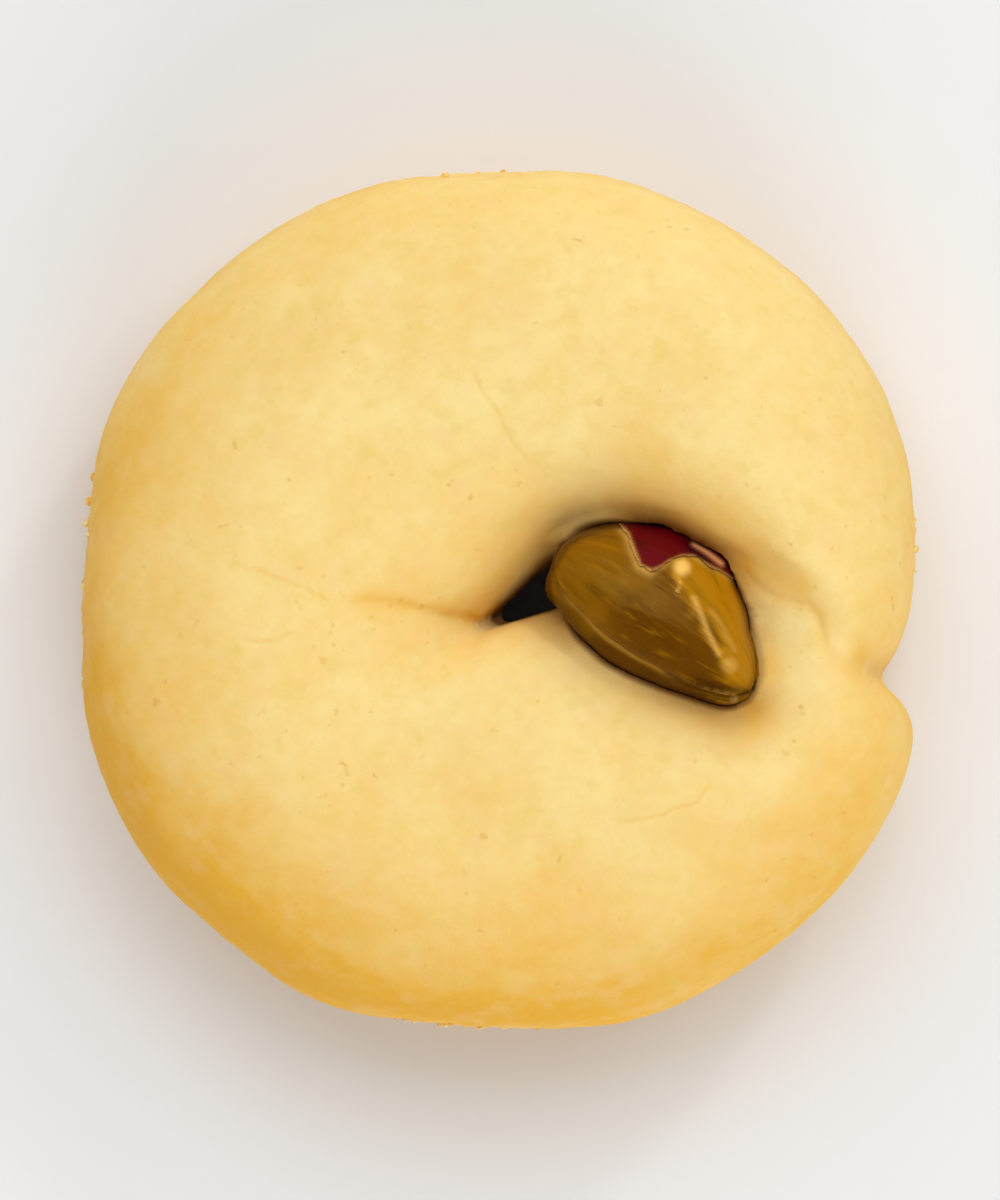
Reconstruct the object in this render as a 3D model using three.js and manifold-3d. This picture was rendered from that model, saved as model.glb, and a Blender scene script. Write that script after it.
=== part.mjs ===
// A ghriba: a rope of butter dough bent into a ring, its two ends pressed together, with one
// pistachio kernel pushed into the dough where the ends meet.
//
// Millimetres, +Z up. The origin lies under the middle of the cookie, on its flat underside.
// The ends of the rope meet on the +X side: the back end comes round by way of +Y, and the front
// end by way of -Y.

import * as THREE from 'three';
import { mergeVertices } from 'three/addons/utils/BufferGeometryUtils.js';
import Module from 'manifold-3d';

const wasm = await Module();
wasm.setup();

const DEGREE = Math.PI / 180;
const ORIGIN = new THREE.Vector2(0, 0);

// The ring seen from above.
const RING_RADIUS = 26.4;
const RING_SWELL = 0.3; // one side of the ring is a little fuller than the other
const RING_SWELL_ANGLE = -35 * DEGREE;
// Where the cookie baked against its neighbours its side is pressed flat. Each flat faces one
// way, and lies this far from the middle.
const PRESSED_FLATS = [
  { angle: 95 * DEGREE, reach: 25.85 },
  { angle: 178 * DEGREE, reach: 25.0 },
  { angle: 266 * DEGREE, reach: 25.75 },
];
const FLAT_BLEND = 0.45; // how softly a flat runs out into the round side

// The rope in section: flat below, widest part way up, rounded over the top.
const CROWN_HEIGHT = 18.2;
const CROWN_LEAN = 0.3; // the crown is this much higher on one side, and lower opposite
const CROWN_LEAN_ANGLE = 55 * DEGREE;
const CROWN_BAND = 2; // what is sunk into the top is full depth this far below the crown
const SIDE_HEIGHT = 7.8; // the outside is widest here
const THROAT_HEIGHT = 9.8; // the hole is narrowest here
const FOOT_INSET = 3.4; // from the outline to the edge of the underside
const MOUTH_INSET = 2.8; // from the hole to the inner edge of the underside
const TOP_FULLNESS = 2.15; // 2 is an ellipse, more is squarer
// The front end stays level almost up to the slit, away from the kernel.
const BRINK_FULLNESS = 3.6;
const BRINK_FROM = 18 * DEGREE; // turns away from the joint
const BRINK_TO = 55 * DEGREE;

// The hole: the ring is closed up so far that only a slit is left, wider towards +X.
const HOLE_CENTRE = new THREE.Vector2(2.65, 0.35);
const HOLE_HALF_LENGTH = 4.0;
const HOLE_HALF_WIDTH = 1.0;
const HOLE_TILT = 30 * DEGREE;
const HOLE_WEDGE = 0.7; // how much wider the +X end is than the middle

// The joint of the two ends: the rope draws in towards it, with a notch in its side and a seam
// over its top.
const JOINT_ANGLE = -12 * DEGREE;
const WAIST_DEPTH = 1.8;
const WAIST_SPAN = 52 * DEGREE; // the back end draws in slowly, the front end all at once
const NOTCH_DEPTH = 1.9;
const NOTCH_FROM = 0.7; // the notch starts this far across the rope, and is deepest outside
const NOTCH_AT_FOOT = 0.4; // how much of the notch is left at the underside
const BACK_FLANK = 5.5 * DEGREE; // how fast the notch opens on each side
const FRONT_FLANK = 3.2 * DEGREE;
const SEAM_DEPTH = 0.4;
const SEAM_BACK_WIDTH = 0.9; // the back end rounds over
const SEAM_FRONT_WIDTH = 0.5; // the front end runs almost level up to the seam
// Going in from the notch the seam swings round towards the back end. The shares are measured
// across the rope, from the hole to the outline.
const SEAM_SWING = 20 * DEGREE;
const SEAM_SWING_FROM = 0.86;
const SEAM_SWING_TO = 0.42;
const SEAM_SWING_SPAN = 55 * DEGREE; // the dough beside the seam is dragged along with it

// The front end is pressed down into a shelf beside the kernel, and the back end stands over it
// in a step along the seam.
const SHELF_CENTRE = new THREE.Vector2(16.6, -1.6);
const SHELF_RADIUS = 4.8;
const SHELF_DEPTH = 1.7;
const STEP_WIDTH = 2.0;

// The inside of the bend buckles into a crease that runs on from the slit towards -X.
const CREASE_START = new THREE.Vector2(-0.7, -1.5);
const CREASE_END = new THREE.Vector2(-10.5, 0.1);
const CREASE_DEPTH = 1.5;
const CREASE_WIDTH = 1.1;

// The kernel: two halves with a groove between them, blunt at one end and narrower at the other.
const KERNEL_LENGTH = 14.8;
const KERNEL_WIDTH = 9.9;
const KERNEL_THICKNESS = 7.4;
const KERNEL_TAPER = 0.24; // how much the narrow end is drawn in
const KERNEL_TAPER_FROM = 0.45; // shares of the length
const KERNEL_TAPER_TO = 0.88;
const KERNEL_BOW = 1.2; // how far the middle bows out to one side
const GROOVE_DEPTH = 0.45;
const GROOVE_SHARE = 0.3; // near the tips the groove takes no more than this of the breadth
const KERNEL_CENTRE = new THREE.Vector3(9.4, -1.35, 14.7);
const KERNEL_HEADING = -36 * DEGREE; // the narrow end points out along the front end
const KERNEL_RISE = 8 * DEGREE; // the narrow end lies higher than the blunt one
const KERNEL_ROLL = -37 * DEGREE; // the groove shows on the side towards -Y
const POCKET_CLEARANCE = 0.3;
// The dough sinks around the kernel where it was pressed in.
const DENT_DEPTH = 2.0;
const DENT_WIDTH = 2.6;

// Fineness of the surfaces.
const RING_STEPS = 96;
const RING_CLUSTER = 0.6; // the sections stand closer together near the joint
const TOP_STEPS = 28;
const INNER_LOWER_STEPS = 3;
const OUTER_LOWER_STEPS = 4;
const KERNEL_RINGS = 24;
const KERNEL_SIDES = 28;

function smoothstep(from, to, value) {
  const share = Math.min(Math.max((value - from) / (to - from), 0), 1);
  return share * share * (3 - 2 * share);
}

function softMinimum(a, b, blend) {
  return Math.min(a, b) - blend * Math.log(1 + Math.exp(-Math.abs(a - b) / blend));
}

// The turn from one angle to another, between -PI and PI.
function turnFrom(start, angle) {
  return Math.atan2(Math.sin(angle - start), Math.cos(angle - start));
}

function pointAt(radius, angle) {
  return new THREE.Vector2(radius * Math.cos(angle), radius * Math.sin(angle));
}

// The next four take the turn away from the joint, which is positive on the back end.
function waistDepth(turn) {
  if (turn < 0) {
    return WAIST_DEPTH * Math.exp(turn / FRONT_FLANK);
  }
  return WAIST_DEPTH * (1 - smoothstep(0, WAIST_SPAN, turn));
}

// How deep the notch cuts at a share of the way across the rope and at a height.
function notchDepth(turn, share, height) {
  const flank = turn < 0 ? FRONT_FLANK : BACK_FLANK;
  const open = NOTCH_AT_FOOT + (1 - NOTCH_AT_FOOT) * smoothstep(0, SIDE_HEIGHT, height);
  const depth = NOTCH_DEPTH * open * smoothstep(NOTCH_FROM, 1, share);
  return depth * Math.exp(-Math.abs(turn) / flank);
}

// How far the seam has swung round at a share of the way across the rope.
function seamSwing(turn, share) {
  const swing = SEAM_SWING * (1 - smoothstep(SEAM_SWING_TO, SEAM_SWING_FROM, share));
  return swing * Math.exp(-((turn / SEAM_SWING_SPAN) ** 2));
}

function seamDrop(turn, radius) {
  const width = turn > 0 ? SEAM_BACK_WIDTH : SEAM_FRONT_WIDTH;
  return SEAM_DEPTH * Math.exp(-Math.abs(turn * radius) / width);
}

function outlineRadius(angle) {
  const swell = RING_SWELL * Math.cos(angle - RING_SWELL_ANGLE);
  return RING_RADIUS + swell - waistDepth(turnFrom(JOINT_ANGLE, angle));
}

// Moves a point that would stick out past a pressed flat back to the flat.
function pressFlat(place) {
  for (const flat of PRESSED_FLATS) {
    const facing = pointAt(1, flat.angle);
    const reach = place.dot(facing);
    place.addScaledVector(facing, softMinimum(reach, flat.reach, FLAT_BLEND) - reach);
  }
  return place;
}

function holePoint(angle) {
  const turn = angle - HOLE_TILT;
  const width = HOLE_HALF_WIDTH * (1 + HOLE_WEDGE * Math.cos(turn));
  const point = new THREE.Vector2(HOLE_HALF_LENGTH * Math.cos(turn), width * Math.sin(turn));
  return point.rotateAround(ORIGIN, HOLE_TILT).add(HOLE_CENTRE);
}

// How square the top is towards the hole.
function innerFullness(turn) {
  const besideSlit = smoothstep(0, 0.7, Math.sin(HOLE_TILT - JOINT_ANGLE - turn));
  const brink = besideSlit * smoothstep(BRINK_FROM, BRINK_TO, -turn);
  return TOP_FULLNESS + (BRINK_FULLNESS - TOP_FULLNESS) * brink;
}

// The section of the rope as (distance from the hole, height) pairs. It starts at the widest
// point outside, goes over the top to the hole, and comes back along the underside.
function ropeSection(width, crown, fullness) {
  const points = [];
  const half = width / 2;
  for (let i = 0; i < TOP_STEPS; i++) {
    const turn = (Math.PI * i) / TOP_STEPS;
    const outer = turn < Math.PI / 2;
    const power = 2 / (outer ? TOP_FULLNESS : fullness);
    const across = Math.sign(Math.cos(turn)) * Math.abs(Math.cos(turn)) ** power;
    const base = outer ? SIDE_HEIGHT : THROAT_HEIGHT;
    points.push([half + half * across, base + (crown - base) * Math.sin(turn) ** power]);
  }
  for (let i = 0; i < INNER_LOWER_STEPS; i++) {
    const turn = (Math.PI / 2) * (i / INNER_LOWER_STEPS);
    points.push([MOUTH_INSET * (1 - Math.cos(turn)), THROAT_HEIGHT * (1 - Math.sin(turn))]);
  }
  points.push([MOUTH_INSET, 0]);
  for (let i = 0; i < OUTER_LOWER_STEPS; i++) {
    const turn = (Math.PI / 2) * (i / OUTER_LOWER_STEPS);
    points.push([width - FOOT_INSET * (1 - Math.sin(turn)), SIDE_HEIGHT * (1 - Math.cos(turn))]);
  }
  return points;
}

// The shelf lies on the front side of the seam, where the turn is negative.
function shelfDrop(x, y, turn) {
  const distance = Math.hypot(x - SHELF_CENTRE.x, y - SHELF_CENTRE.y);
  const front = 1 - smoothstep(0, STEP_WIDTH, turn * Math.hypot(x, y));
  return SHELF_DEPTH * front * Math.exp(-((distance / SHELF_RADIUS) ** 2));
}

function creaseDrop(x, y) {
  const run = CREASE_END.clone().sub(CREASE_START);
  const offset = new THREE.Vector2(x, y).sub(CREASE_START);
  const along = Math.min(Math.max(offset.dot(run) / run.lengthSq(), 0), 1);
  const distance = offset.addScaledVector(run, -along).length();
  return CREASE_DEPTH * (1 - along) * Math.exp(-distance / CREASE_WIDTH);
}

// How deep the dough has sunk, from the distance to an ellipse that stands for the kernel.
function dentDrop(x, y) {
  const offset = new THREE.Vector2(x - KERNEL_CENTRE.x, y - KERNEL_CENTRE.y);
  offset.rotateAround(ORIGIN, -KERNEL_HEADING);
  offset.y -= KERNEL_BOW / 2;
  const share = Math.hypot(offset.x / (KERNEL_LENGTH / 2), offset.y / (KERNEL_WIDTH / 2));
  const distance = share > 1 ? offset.length() * (1 - 1 / share) : 0;
  return DENT_DEPTH * Math.exp(-((distance / DENT_WIDTH) ** 2));
}

function topDrop(x, y, turn) {
  const seam = seamDrop(turn, Math.hypot(x, y));
  return seam + shelfDrop(x, y, turn) + creaseDrop(x, y) + dentDrop(x, y);
}

// One section of the ring, as points in space.
function sectionPoints(turn) {
  const angle = JOINT_ANGLE + turn;
  const radius = outlineRadius(angle);
  const width = holePoint(angle).distanceTo(pointAt(radius, angle));
  const crown = CROWN_HEIGHT + CROWN_LEAN * Math.cos(angle - CROWN_LEAN_ANGLE);
  return ropeSection(width, crown, innerFullness(turn)).map(([distance, height]) => {
    const share = distance / width;
    const swung = angle + seamSwing(turn, share);
    const place = holePoint(swung).lerp(pointAt(radius, swung), share);
    pressFlat(place.sub(pointAt(notchDepth(turn, share, height), swung)));
    const upness = smoothstep(THROAT_HEIGHT, crown - CROWN_BAND, height);
    return [place.x, place.y, height - upness * topDrop(place.x, place.y, turn)];
  });
}

// The whole ring as one closed grid, before the kernel's pocket is cut.
function ringGeometry() {
  const sections = [];
  for (let i = 0; i < RING_STEPS; i++) {
    const even = (2 * Math.PI * i) / RING_STEPS;
    sections.push(sectionPoints(turnFrom(0, even - RING_CLUSTER * Math.sin(even))));
  }
  const count = sections[0].length;
  const index = [];
  for (let i = 0; i < RING_STEPS; i++) {
    const next = (i + 1) % RING_STEPS;
    for (let j = 0; j < count; j++) {
      const beyond = (j + 1) % count;
      const a = i * count + j;
      const b = next * count + j;
      const c = next * count + beyond;
      const d = i * count + beyond;
      index.push(a, b, c, a, c, d);
    }
  }
  return closedGeometry(sections.flat(2), index);
}

// Half the kernel's breadth at a share of its length, as a share of the greatest.
function kernelFullness(share) {
  const round = Math.sqrt(Math.max(1 - (2 * share - 1) ** 2, 0));
  return round * (1 - KERNEL_TAPER * smoothstep(KERNEL_TAPER_FROM, KERNEL_TAPER_TO, share));
}

// The kernel lies along X with its groove in the XY plane. It can be grown all round, for the
// pocket, and its groove can be left out by a depth of 0.
function kernelGeometry(grown, grooveDepth) {
  const length = KERNEL_LENGTH + 2 * grown;
  const halfThickness = KERNEL_THICKNESS / 2 + grown;
  const positions = [-length / 2, 0, 0];
  for (let i = 1; i < KERNEL_RINGS; i++) {
    const share = (1 - Math.cos((Math.PI * i) / KERNEL_RINGS)) / 2;
    const fullness = kernelFullness(share);
    const halfWidth = (KERNEL_WIDTH / 2 + grown) * fullness;
    const groove = Math.min(grooveDepth, GROOVE_SHARE * halfWidth);
    const bow = KERNEL_BOW * Math.sin(Math.PI * share);
    for (let j = 0; j < KERNEL_SIDES; j++) {
      const turn = (2 * Math.PI * j) / KERNEL_SIDES;
      const breadth = j % (KERNEL_SIDES / 2) === 0 ? halfWidth - groove : halfWidth;
      const height = halfThickness * fullness * Math.sin(turn);
      positions.push(length * (share - 0.5), bow + breadth * Math.cos(turn), height);
    }
  }
  positions.push(length / 2, 0, 0);
  return closedGeometry(positions, kernelIndex());
}

// The triangles of a blunt end, the rings between, and a narrow end.
function kernelIndex() {
  const index = [];
  const lastRing = 1 + (KERNEL_RINGS - 2) * KERNEL_SIDES;
  const narrowEnd = lastRing + KERNEL_SIDES;
  for (let j = 0; j < KERNEL_SIDES; j++) {
    const beyond = (j + 1) % KERNEL_SIDES;
    index.push(0, 1 + beyond, 1 + j);
    for (let ring = 1; ring < lastRing; ring += KERNEL_SIDES) {
      const a = ring + j;
      const b = ring + beyond;
      index.push(a, b, b + KERNEL_SIDES, a, b + KERNEL_SIDES, a + KERNEL_SIDES);
    }
    index.push(narrowEnd, lastRing + j, lastRing + beyond);
  }
  return index;
}

function closedGeometry(positions, index) {
  const geometry = new THREE.BufferGeometry();
  geometry.setAttribute('position', new THREE.Float32BufferAttribute(positions, 3));
  geometry.setIndex(index);
  return mergeVertices(geometry);
}

function toManifold(geometry) {
  const vertProperties = new Float32Array(geometry.attributes.position.array);
  const triVerts = new Uint32Array(geometry.index.array);
  return new wasm.Manifold(new wasm.Mesh({ numProp: 3, vertProperties, triVerts }));
}

function fromManifold(solid) {
  const { vertProperties, triVerts } = solid.getMesh();
  const geometry = new THREE.BufferGeometry();
  geometry.setAttribute('position', new THREE.Float32BufferAttribute(vertProperties, 3));
  geometry.setIndex(Array.from(triVerts));
  return geometry;
}

function placeKernel(object) {
  object.position.copy(KERNEL_CENTRE);
  object.rotation.set(KERNEL_ROLL, -KERNEL_RISE, KERNEL_HEADING, 'ZYX');
  object.updateMatrix();
  return object;
}

function makeMesh(name, geometry, look) {
  geometry.computeVertexNormals();
  const mesh = new THREE.Mesh(geometry, new THREE.MeshStandardMaterial(look));
  mesh.name = name;
  return mesh;
}

function makeDoughRing() {
  const kernelSpace = kernelGeometry(POCKET_CLEARANCE, 0);
  kernelSpace.applyMatrix4(placeKernel(new THREE.Object3D()).matrix);
  const dough = toManifold(ringGeometry()).subtract(toManifold(kernelSpace));
  return makeMesh('dough_ring', fromManifold(dough), { color: 0xf2d58a, roughness: 0.85 });
}

function makeKernel() {
  const geometry = kernelGeometry(0, GROOVE_DEPTH);
  const look = { color: 0x7a5410, roughness: 0.3 };
  return placeKernel(makeMesh('pistachio_kernel', geometry, look));
}

const ghriba = new THREE.Group();
ghriba.add(makeDoughRing(), makeKernel());

export default ghriba;
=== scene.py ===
"""A ghriba: a ring-shaped butter cookie with one pistachio kernel, modelled round its solids.

Lengths are in metres, +Z up. The solids that the frame holds give the shapes and places. The
dough and the kernel start as copies of them, and get the unevenness, cracks, wrinkles and skin of
the baked cookie.
"""

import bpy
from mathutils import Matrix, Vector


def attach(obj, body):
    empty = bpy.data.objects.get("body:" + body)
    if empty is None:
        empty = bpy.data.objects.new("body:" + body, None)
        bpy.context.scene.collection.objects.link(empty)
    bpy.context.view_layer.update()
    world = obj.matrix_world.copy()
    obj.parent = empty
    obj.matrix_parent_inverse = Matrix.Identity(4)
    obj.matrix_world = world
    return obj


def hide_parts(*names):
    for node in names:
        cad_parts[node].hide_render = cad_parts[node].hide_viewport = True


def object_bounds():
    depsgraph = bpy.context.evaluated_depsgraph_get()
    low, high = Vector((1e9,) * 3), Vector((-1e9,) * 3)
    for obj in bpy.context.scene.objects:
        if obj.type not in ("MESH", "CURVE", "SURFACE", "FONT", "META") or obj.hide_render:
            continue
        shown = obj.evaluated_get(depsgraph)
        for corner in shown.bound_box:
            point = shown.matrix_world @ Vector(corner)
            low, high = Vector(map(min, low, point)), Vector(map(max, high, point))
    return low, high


bl_info = {
    "name": "Ghriba cookie",
    "version": (1, 0, 0),
    "blender": (4, 5, 0),
    "location": "3D View > Sidebar > Ghriba",
    "description": "Models a ring-shaped butter cookie with a pistachio kernel",
    "category": "Add Mesh",
}

import math
import random

import bpy
import numpy as np
from mathutils import Euler, Matrix, Vector
from mathutils.bvhtree import BVHTree

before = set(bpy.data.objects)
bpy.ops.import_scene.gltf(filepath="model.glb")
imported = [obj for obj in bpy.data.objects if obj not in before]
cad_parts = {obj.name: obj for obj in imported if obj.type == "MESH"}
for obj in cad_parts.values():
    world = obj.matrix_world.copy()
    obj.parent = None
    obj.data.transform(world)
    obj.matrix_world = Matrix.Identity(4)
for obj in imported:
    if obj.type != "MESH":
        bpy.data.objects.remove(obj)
cad_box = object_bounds()

MM = 0.001
DEGREE = math.pi / 180
WELD = 0.001 * MM

# The kernel's own frame: X along it to its narrow end, Z across the split between its halves.
KERNEL_CENTRE = Vector((9.4, -1.35, 14.7)) * MM
KERNEL_TURN = Euler((-37 * DEGREE, -8 * DEGREE, -36 * DEGREE), "XYZ")
KERNEL_PLACE = Matrix.Translation(KERNEL_CENTRE) @ KERNEL_TURN.to_matrix().to_4x4()
KERNEL_LENGTH = 14.8 * MM
GRAIN_RADIUS = 3.6 * MM  # of the nut's fibres, round its long axis
GROOVE_HALF_WIDTH = 0.01 * MM  # of the solid's split
RIM_WIDTH = 0.62 * MM
SECTORS = 90  # in which the kernel's edge is looked for
POCKET_GAP = 0.04 * MM
SKIN_SINK = 0.05 * MM  # how far the skin reaches into the kernel
UNDERSIDE = 0.08 * MM  # the dough below this height is pressed flat

# Lines in the dough, as a few points (x, y) that each passes through, in millimetres.
SEAM = [
    (13.6, 2.1), (14.4, 1.5), (15.7, 0.5), (17.0, -0.1), (18.2, -0.3), (18.8, -1.1), (19.3, -2.9),
    (20.4, -4.0), (21.7, -4.7),
]
SHELF = [(16.7, 0.2), (16.7, -1.6), (16.5, -4.2)]  # the end of the rope that bears the kernel
# painted shade on the side of the upper end that slopes down to the seam
SEAM_SHADE_BAND = [(14.5, 2.2), (15.6, 1.35), (16.9, 0.75), (17.9, 0.65)]
CREASE = [(-0.8, -1.45), (-3.8, -0.8), (-5.8, -0.35), (-8.5, -0.15), (-9.9, -0.3)]
HAIRLINES = [
    [(-9.9, -0.2), (-11.7, 0.7), (-13.3, 1.4), (-15.0, 1.8), (-16.3, 2.7)],
    [(-12.0, -1.9), (-13.2, -2.4), (-14.4, -2.5), (-15.6, -2.3)],
    [(-1.8, 13.9), (-1.0, 12.3), (-0.1, 11.0), (0.7, 9.4), (2.0, 7.7)],
    [
        (6.4, -13.0), (7.7, -13.1), (9.3, -12.8), (10.5, -12.3), (11.7, -12.0), (12.4, -10.9),
        (12.3, -9.5),
    ],
]
# Where the side of the cookie tore free of its neighbours: the way it faces and its half span in
# degrees, and the middle and half of its height in millimetres.
CONTACTS = [(178, 17), (266, 15), (93, 12), (7, 7)]
CONTACT_HEIGHT = 7.6
CONTACT_HALF_HEIGHT = 4.6

# How far the dough is moved round the kernel, and how wide that reaches, in millimetres.
SHELF_RISE = 0.55
SHELF_WIDTH = 2.0
LIP_SHIFT = {"X": 0.16, "Y": 0.34}
LIP_HEADING = 64  # from the kernel's centre, in degrees
LIP_FULL_SPAN, LIP_SPAN = 26, 46  # to each side of that heading, in degrees

BROWNED_SHADE_SIDE = 222 * DEGREE  # painted shade: darker at its lower edge on this side, away from the light
GOLDEN_SHADE_SIDE = 240 * DEGREE  # the side away from the light, painted more golden as painted shade
# How golden the ring is outside and inside, and how much that differs round it: baked colour with
# painted shade.
OUTSIDE_GOLD, OUTSIDE_SHADE_SWING = 0.63, 0.35
INSIDE_GOLD, INSIDE_SHADE_SWING = 0.4, 0.27
# What share of that shows for each way that the dough faces, from sideways to straight up: the
# sides' baked colour, partly painted shade.
SLOPES = [0.0, 0.6, 0.7, 0.78, 0.9, 1.0]
SLOPE_BROWNING_AND_SHADE = [1.0, 0.98, 0.88, 0.74, 0.57, 0.27]
# Spots on the top, as a centre (x, y) and a radius in millimetres, and how golden they are; the
# first is painted shade in the dent by the kernel's narrow end.
GOLDEN_SPOTS = [((15.2, -6.6), 1.1, 0.8), ((16.2, -4.0), 1.2, 0.7), ((21.6, -3.4), 0.8, 0.5)]
CREAM_BAND = [(15.5, -0.2), (17.2, -0.9), (18.1, -3.2), (18.1, -5.0)]  # painted paler along the shelf
HOLE_LINE = [(-0.5, -1.4), (5.7, 2.1)]  # the slit of the hole, in millimetres
SLIT_TIP = [(0.4, -1.2), (-0.8, -1.45), (-1.9, -1.3)]
# How strongly the dough round the kernel is painted dark and golden, for each way from its centre:
# the kernel's oil stain, partly painted shade.
OIL_SHADE_HEADINGS = [-180, -160, -115, -90, -60, -40, -25, 5, 20, 40, 60, 80, 100, 116, 140, 160, 180]
OIL_SHADE_STRENGTHS = [
    0.45, 0.18, 0.18, 0.3, 0.42, 0.28, 0.02, 0.02, 0.25, 0.58, 1.1, 1.05, 0.8, 0.15, 0.2, 0.4, 0.45
]
# How dark and how golden that oil stain and painted shade are at some distances from the kernel, in
# millimetres.
OIL_SHADE_REACH = [0.1, 0.4, 0.8, 1.2, 1.8, 2.6, 4.0]
OIL_SHADE_DARKNESS = [1.0, 0.97, 0.8, 0.52, 0.18, 0.03, 0.0]
OIL_SHADE_GOLD = [1.0, 0.95, 0.85, 0.75, 0.5, 0.24, 0.0]

# The patch of red skin left on the kernel, seen from above, in millimetres, and the bare flesh
# beside it.
SKIN_OUTLINE = [
    (6.7, 5.4), (7.1, 4.5), (7.6, 3.9), (7.9, 3.0), (8.3, 2.0), (8.9, 1.7), (9.5, 1.9),
    (10.1, 2.3), (10.8, 2.6), (11.5, 2.6), (12.2, 2.15), (13.0, 1.75), (13.9, 1.2),
    (15.0, 1.6), (14.6, 3.6), (12.4, 5.6), (9.4, 6.6),
]
SKIN_TORN_POINTS = 13  # the first points of the outline are the torn edge
SKIN_PALE_POINTS = 6  # the first of those have a wide pale edge
SKIN_STRAY = 0.09  # of the torn edge's small steps
SKIN_HIGHLIGHT_STREAK = [(11.6, 3.3), (12.3, 2.85), (13.2, 2.15)]  # where a painted highlight lies along the skin
# Raised spots with a painted highlight on them, as a centre, a radius and how bright that painted
# highlight is.
HIGHLIGHT_SPOTS = [((10.8, 1.9), 0.5, 1.0), ((13.6, -3.9), 0.46, 0.3), ((13.9, -5.85), 0.26, 0.8)]
# How dark the kernel's edge and the dough beside it are painted, for each way from the kernel's
# centre: the roasted edge's own dark, with painted shade.
RIM_HEADINGS = [-180, -48, -30, 5, 22, 180]
RIM_STRENGTHS = [1.0, 1.0, 0.55, 0.55, 1.0, 1.0]
# Where the kernel is narrower, and where it is fuller, than its even solid, in millimetres.
NARROW_EDGE = [(15.1, -6.4), (15.9, -4.8), (15.9, -3.2), (15.6, -1.9)]
FULL_EDGE = [(10.6, 4.4), (12.3, 3.5), (13.2, 2.6)]
NARROWING = 0.5
FILLING = 0.3
HEEL_REACH = 0.6  # of the lower half's blunt end
BRIM_RETREAT = 0.4  # of the upper half's edge, which lets the lower half show
DENT_DEPTH = 0.25
RIDGE_HEIGHT = 0.1
# Ridges near the narrow end, with a painted highlight along them.
RIDGES = [
    [(11.5, 0.1), (11.9, -0.8), (12.3, -1.9), (12.7, -2.7), (13.0, -3.2)],
    [(12.6, -0.7), (13.0, -1.4), (13.4, -2.1), (13.9, -3.0)],
]
RIDGE_HIGHLIGHT = [0.5, 0.18]
DARK_STREAK = [(6.6, 0.7), (8.2, -0.7), (10.2, -2.8), (11.7, -4.6)]  # the darkest of the flesh
# painted highlight along the lower half's bead on this line
LIT_EDGE = [(4.4, -0.6), (5.2, -1.4), (7.0, -2.6), (9.2, -3.7)]  # of the lower half
# the split's painted shadow, widening towards the narrow end
TIP_SHADOW = [(11.8, -4.9), (12.8, -5.2), (13.8, -5.4), (14.6, -5.5)]
CRUMB_PLACES = [(-1, 7.6), (-1, 6.1), (-1, 4.6), (-1, 0.7), (1, 3.2)]  # side of X, and y
CRUMB_ROUGHNESS = 0.22 * MM
SLIGHT = 0.001  # a weight below this is none

LIGHT_DISTANCE = 1.5
PICTURE_WIDTH, PICTURE_HEIGHT = 1000, 1200  # only their ratio is used


def linear(red, green, blue):
    """A colour given as shown on a screen, from 0 to 255, as scene linear RGBA."""
    shown = np.array([red, green, blue]) / 255
    light = np.where(shown <= 0.04045, shown / 12.92, ((shown + 0.055) / 1.055) ** 2.4)
    return (*light.tolist(), 1.0)


def smoothstep(start, end, value):
    """0 up to the start, 1 from the end on, and a smooth change between them."""
    share = np.clip((value - start) / (end - start), 0, 1)
    return share * share * (3 - 2 * share)


def bell(offset, width):
    """1 where the offset is none, and fading to 0 as it passes the width."""
    return np.exp(-((offset / width) ** 2))


def height_step(places, start, end):
    """A smoothstep over the height of each place, in millimetres."""
    return smoothstep(start * MM, end * MM, places[:, 2])


# ---------------------------------------------------------------- settings


def number_property(name, description, default, unit="NONE"):
    return bpy.props.FloatProperty(
        name=name, description=description, default=default, min=0, unit=unit
    )


def length_property(name, description, millimetres):
    return number_property(name, description, millimetres * MM, "LENGTH")


def colour_property(name, description, red, green, blue):
    default = linear(red, green, blue)
    return bpy.props.FloatVectorProperty(
        name=name, description=description, default=default, size=4, min=0, max=1, subtype="COLOR"
    )


class GhribaDoughSettings(bpy.types.PropertyGroup):
    """The sizes and colours of the baked dough."""

    mesh_size: length_property("Mesh size", "Width of a face of the dough's mesh", 0.38)
    swell: length_property("Swell", "How far the dough bulges and sinks unevenly", 0.5)
    lumps: length_property("Lumps", "Height of the small lumps of the surface", 0.12)
    grain: length_property("Grain", "Height of the grain of the surface", 0.05)
    crease_depth: length_property("Crease depth", "How deep the creases are", 0.14)
    crack_depth: length_property("Crack depth", "How deep the hairline cracks are", 0.05)
    tear_depth: length_property("Tear depth", "How rough the torn sides are", 0.35)
    pale: colour_property("Pale", "The palest dough, on the crown", 247, 222, 151)
    # also carries painted shade on the sides away from the light and along the seam and creases
    golden: colour_property("Golden", "The dough of the sides", 238, 180, 60)
    buttery: colour_property("Buttery", "The small yellow patches", 232, 202, 104)
    blush: colour_property("Blush", "The small pinkish patches", 246, 208, 146)
    # also painted shade low on the side away from the light and round the kernel
    baked_and_shaded: colour_property("Baked", "The freckles and the underside", 214, 150, 46)
    # also the painted shade round the kernel, at the slit's tip and down in the hole
    stained_and_shaded: colour_property("Stained", "The dough that the kernel's oil soaked", 100, 48, 8)


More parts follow.
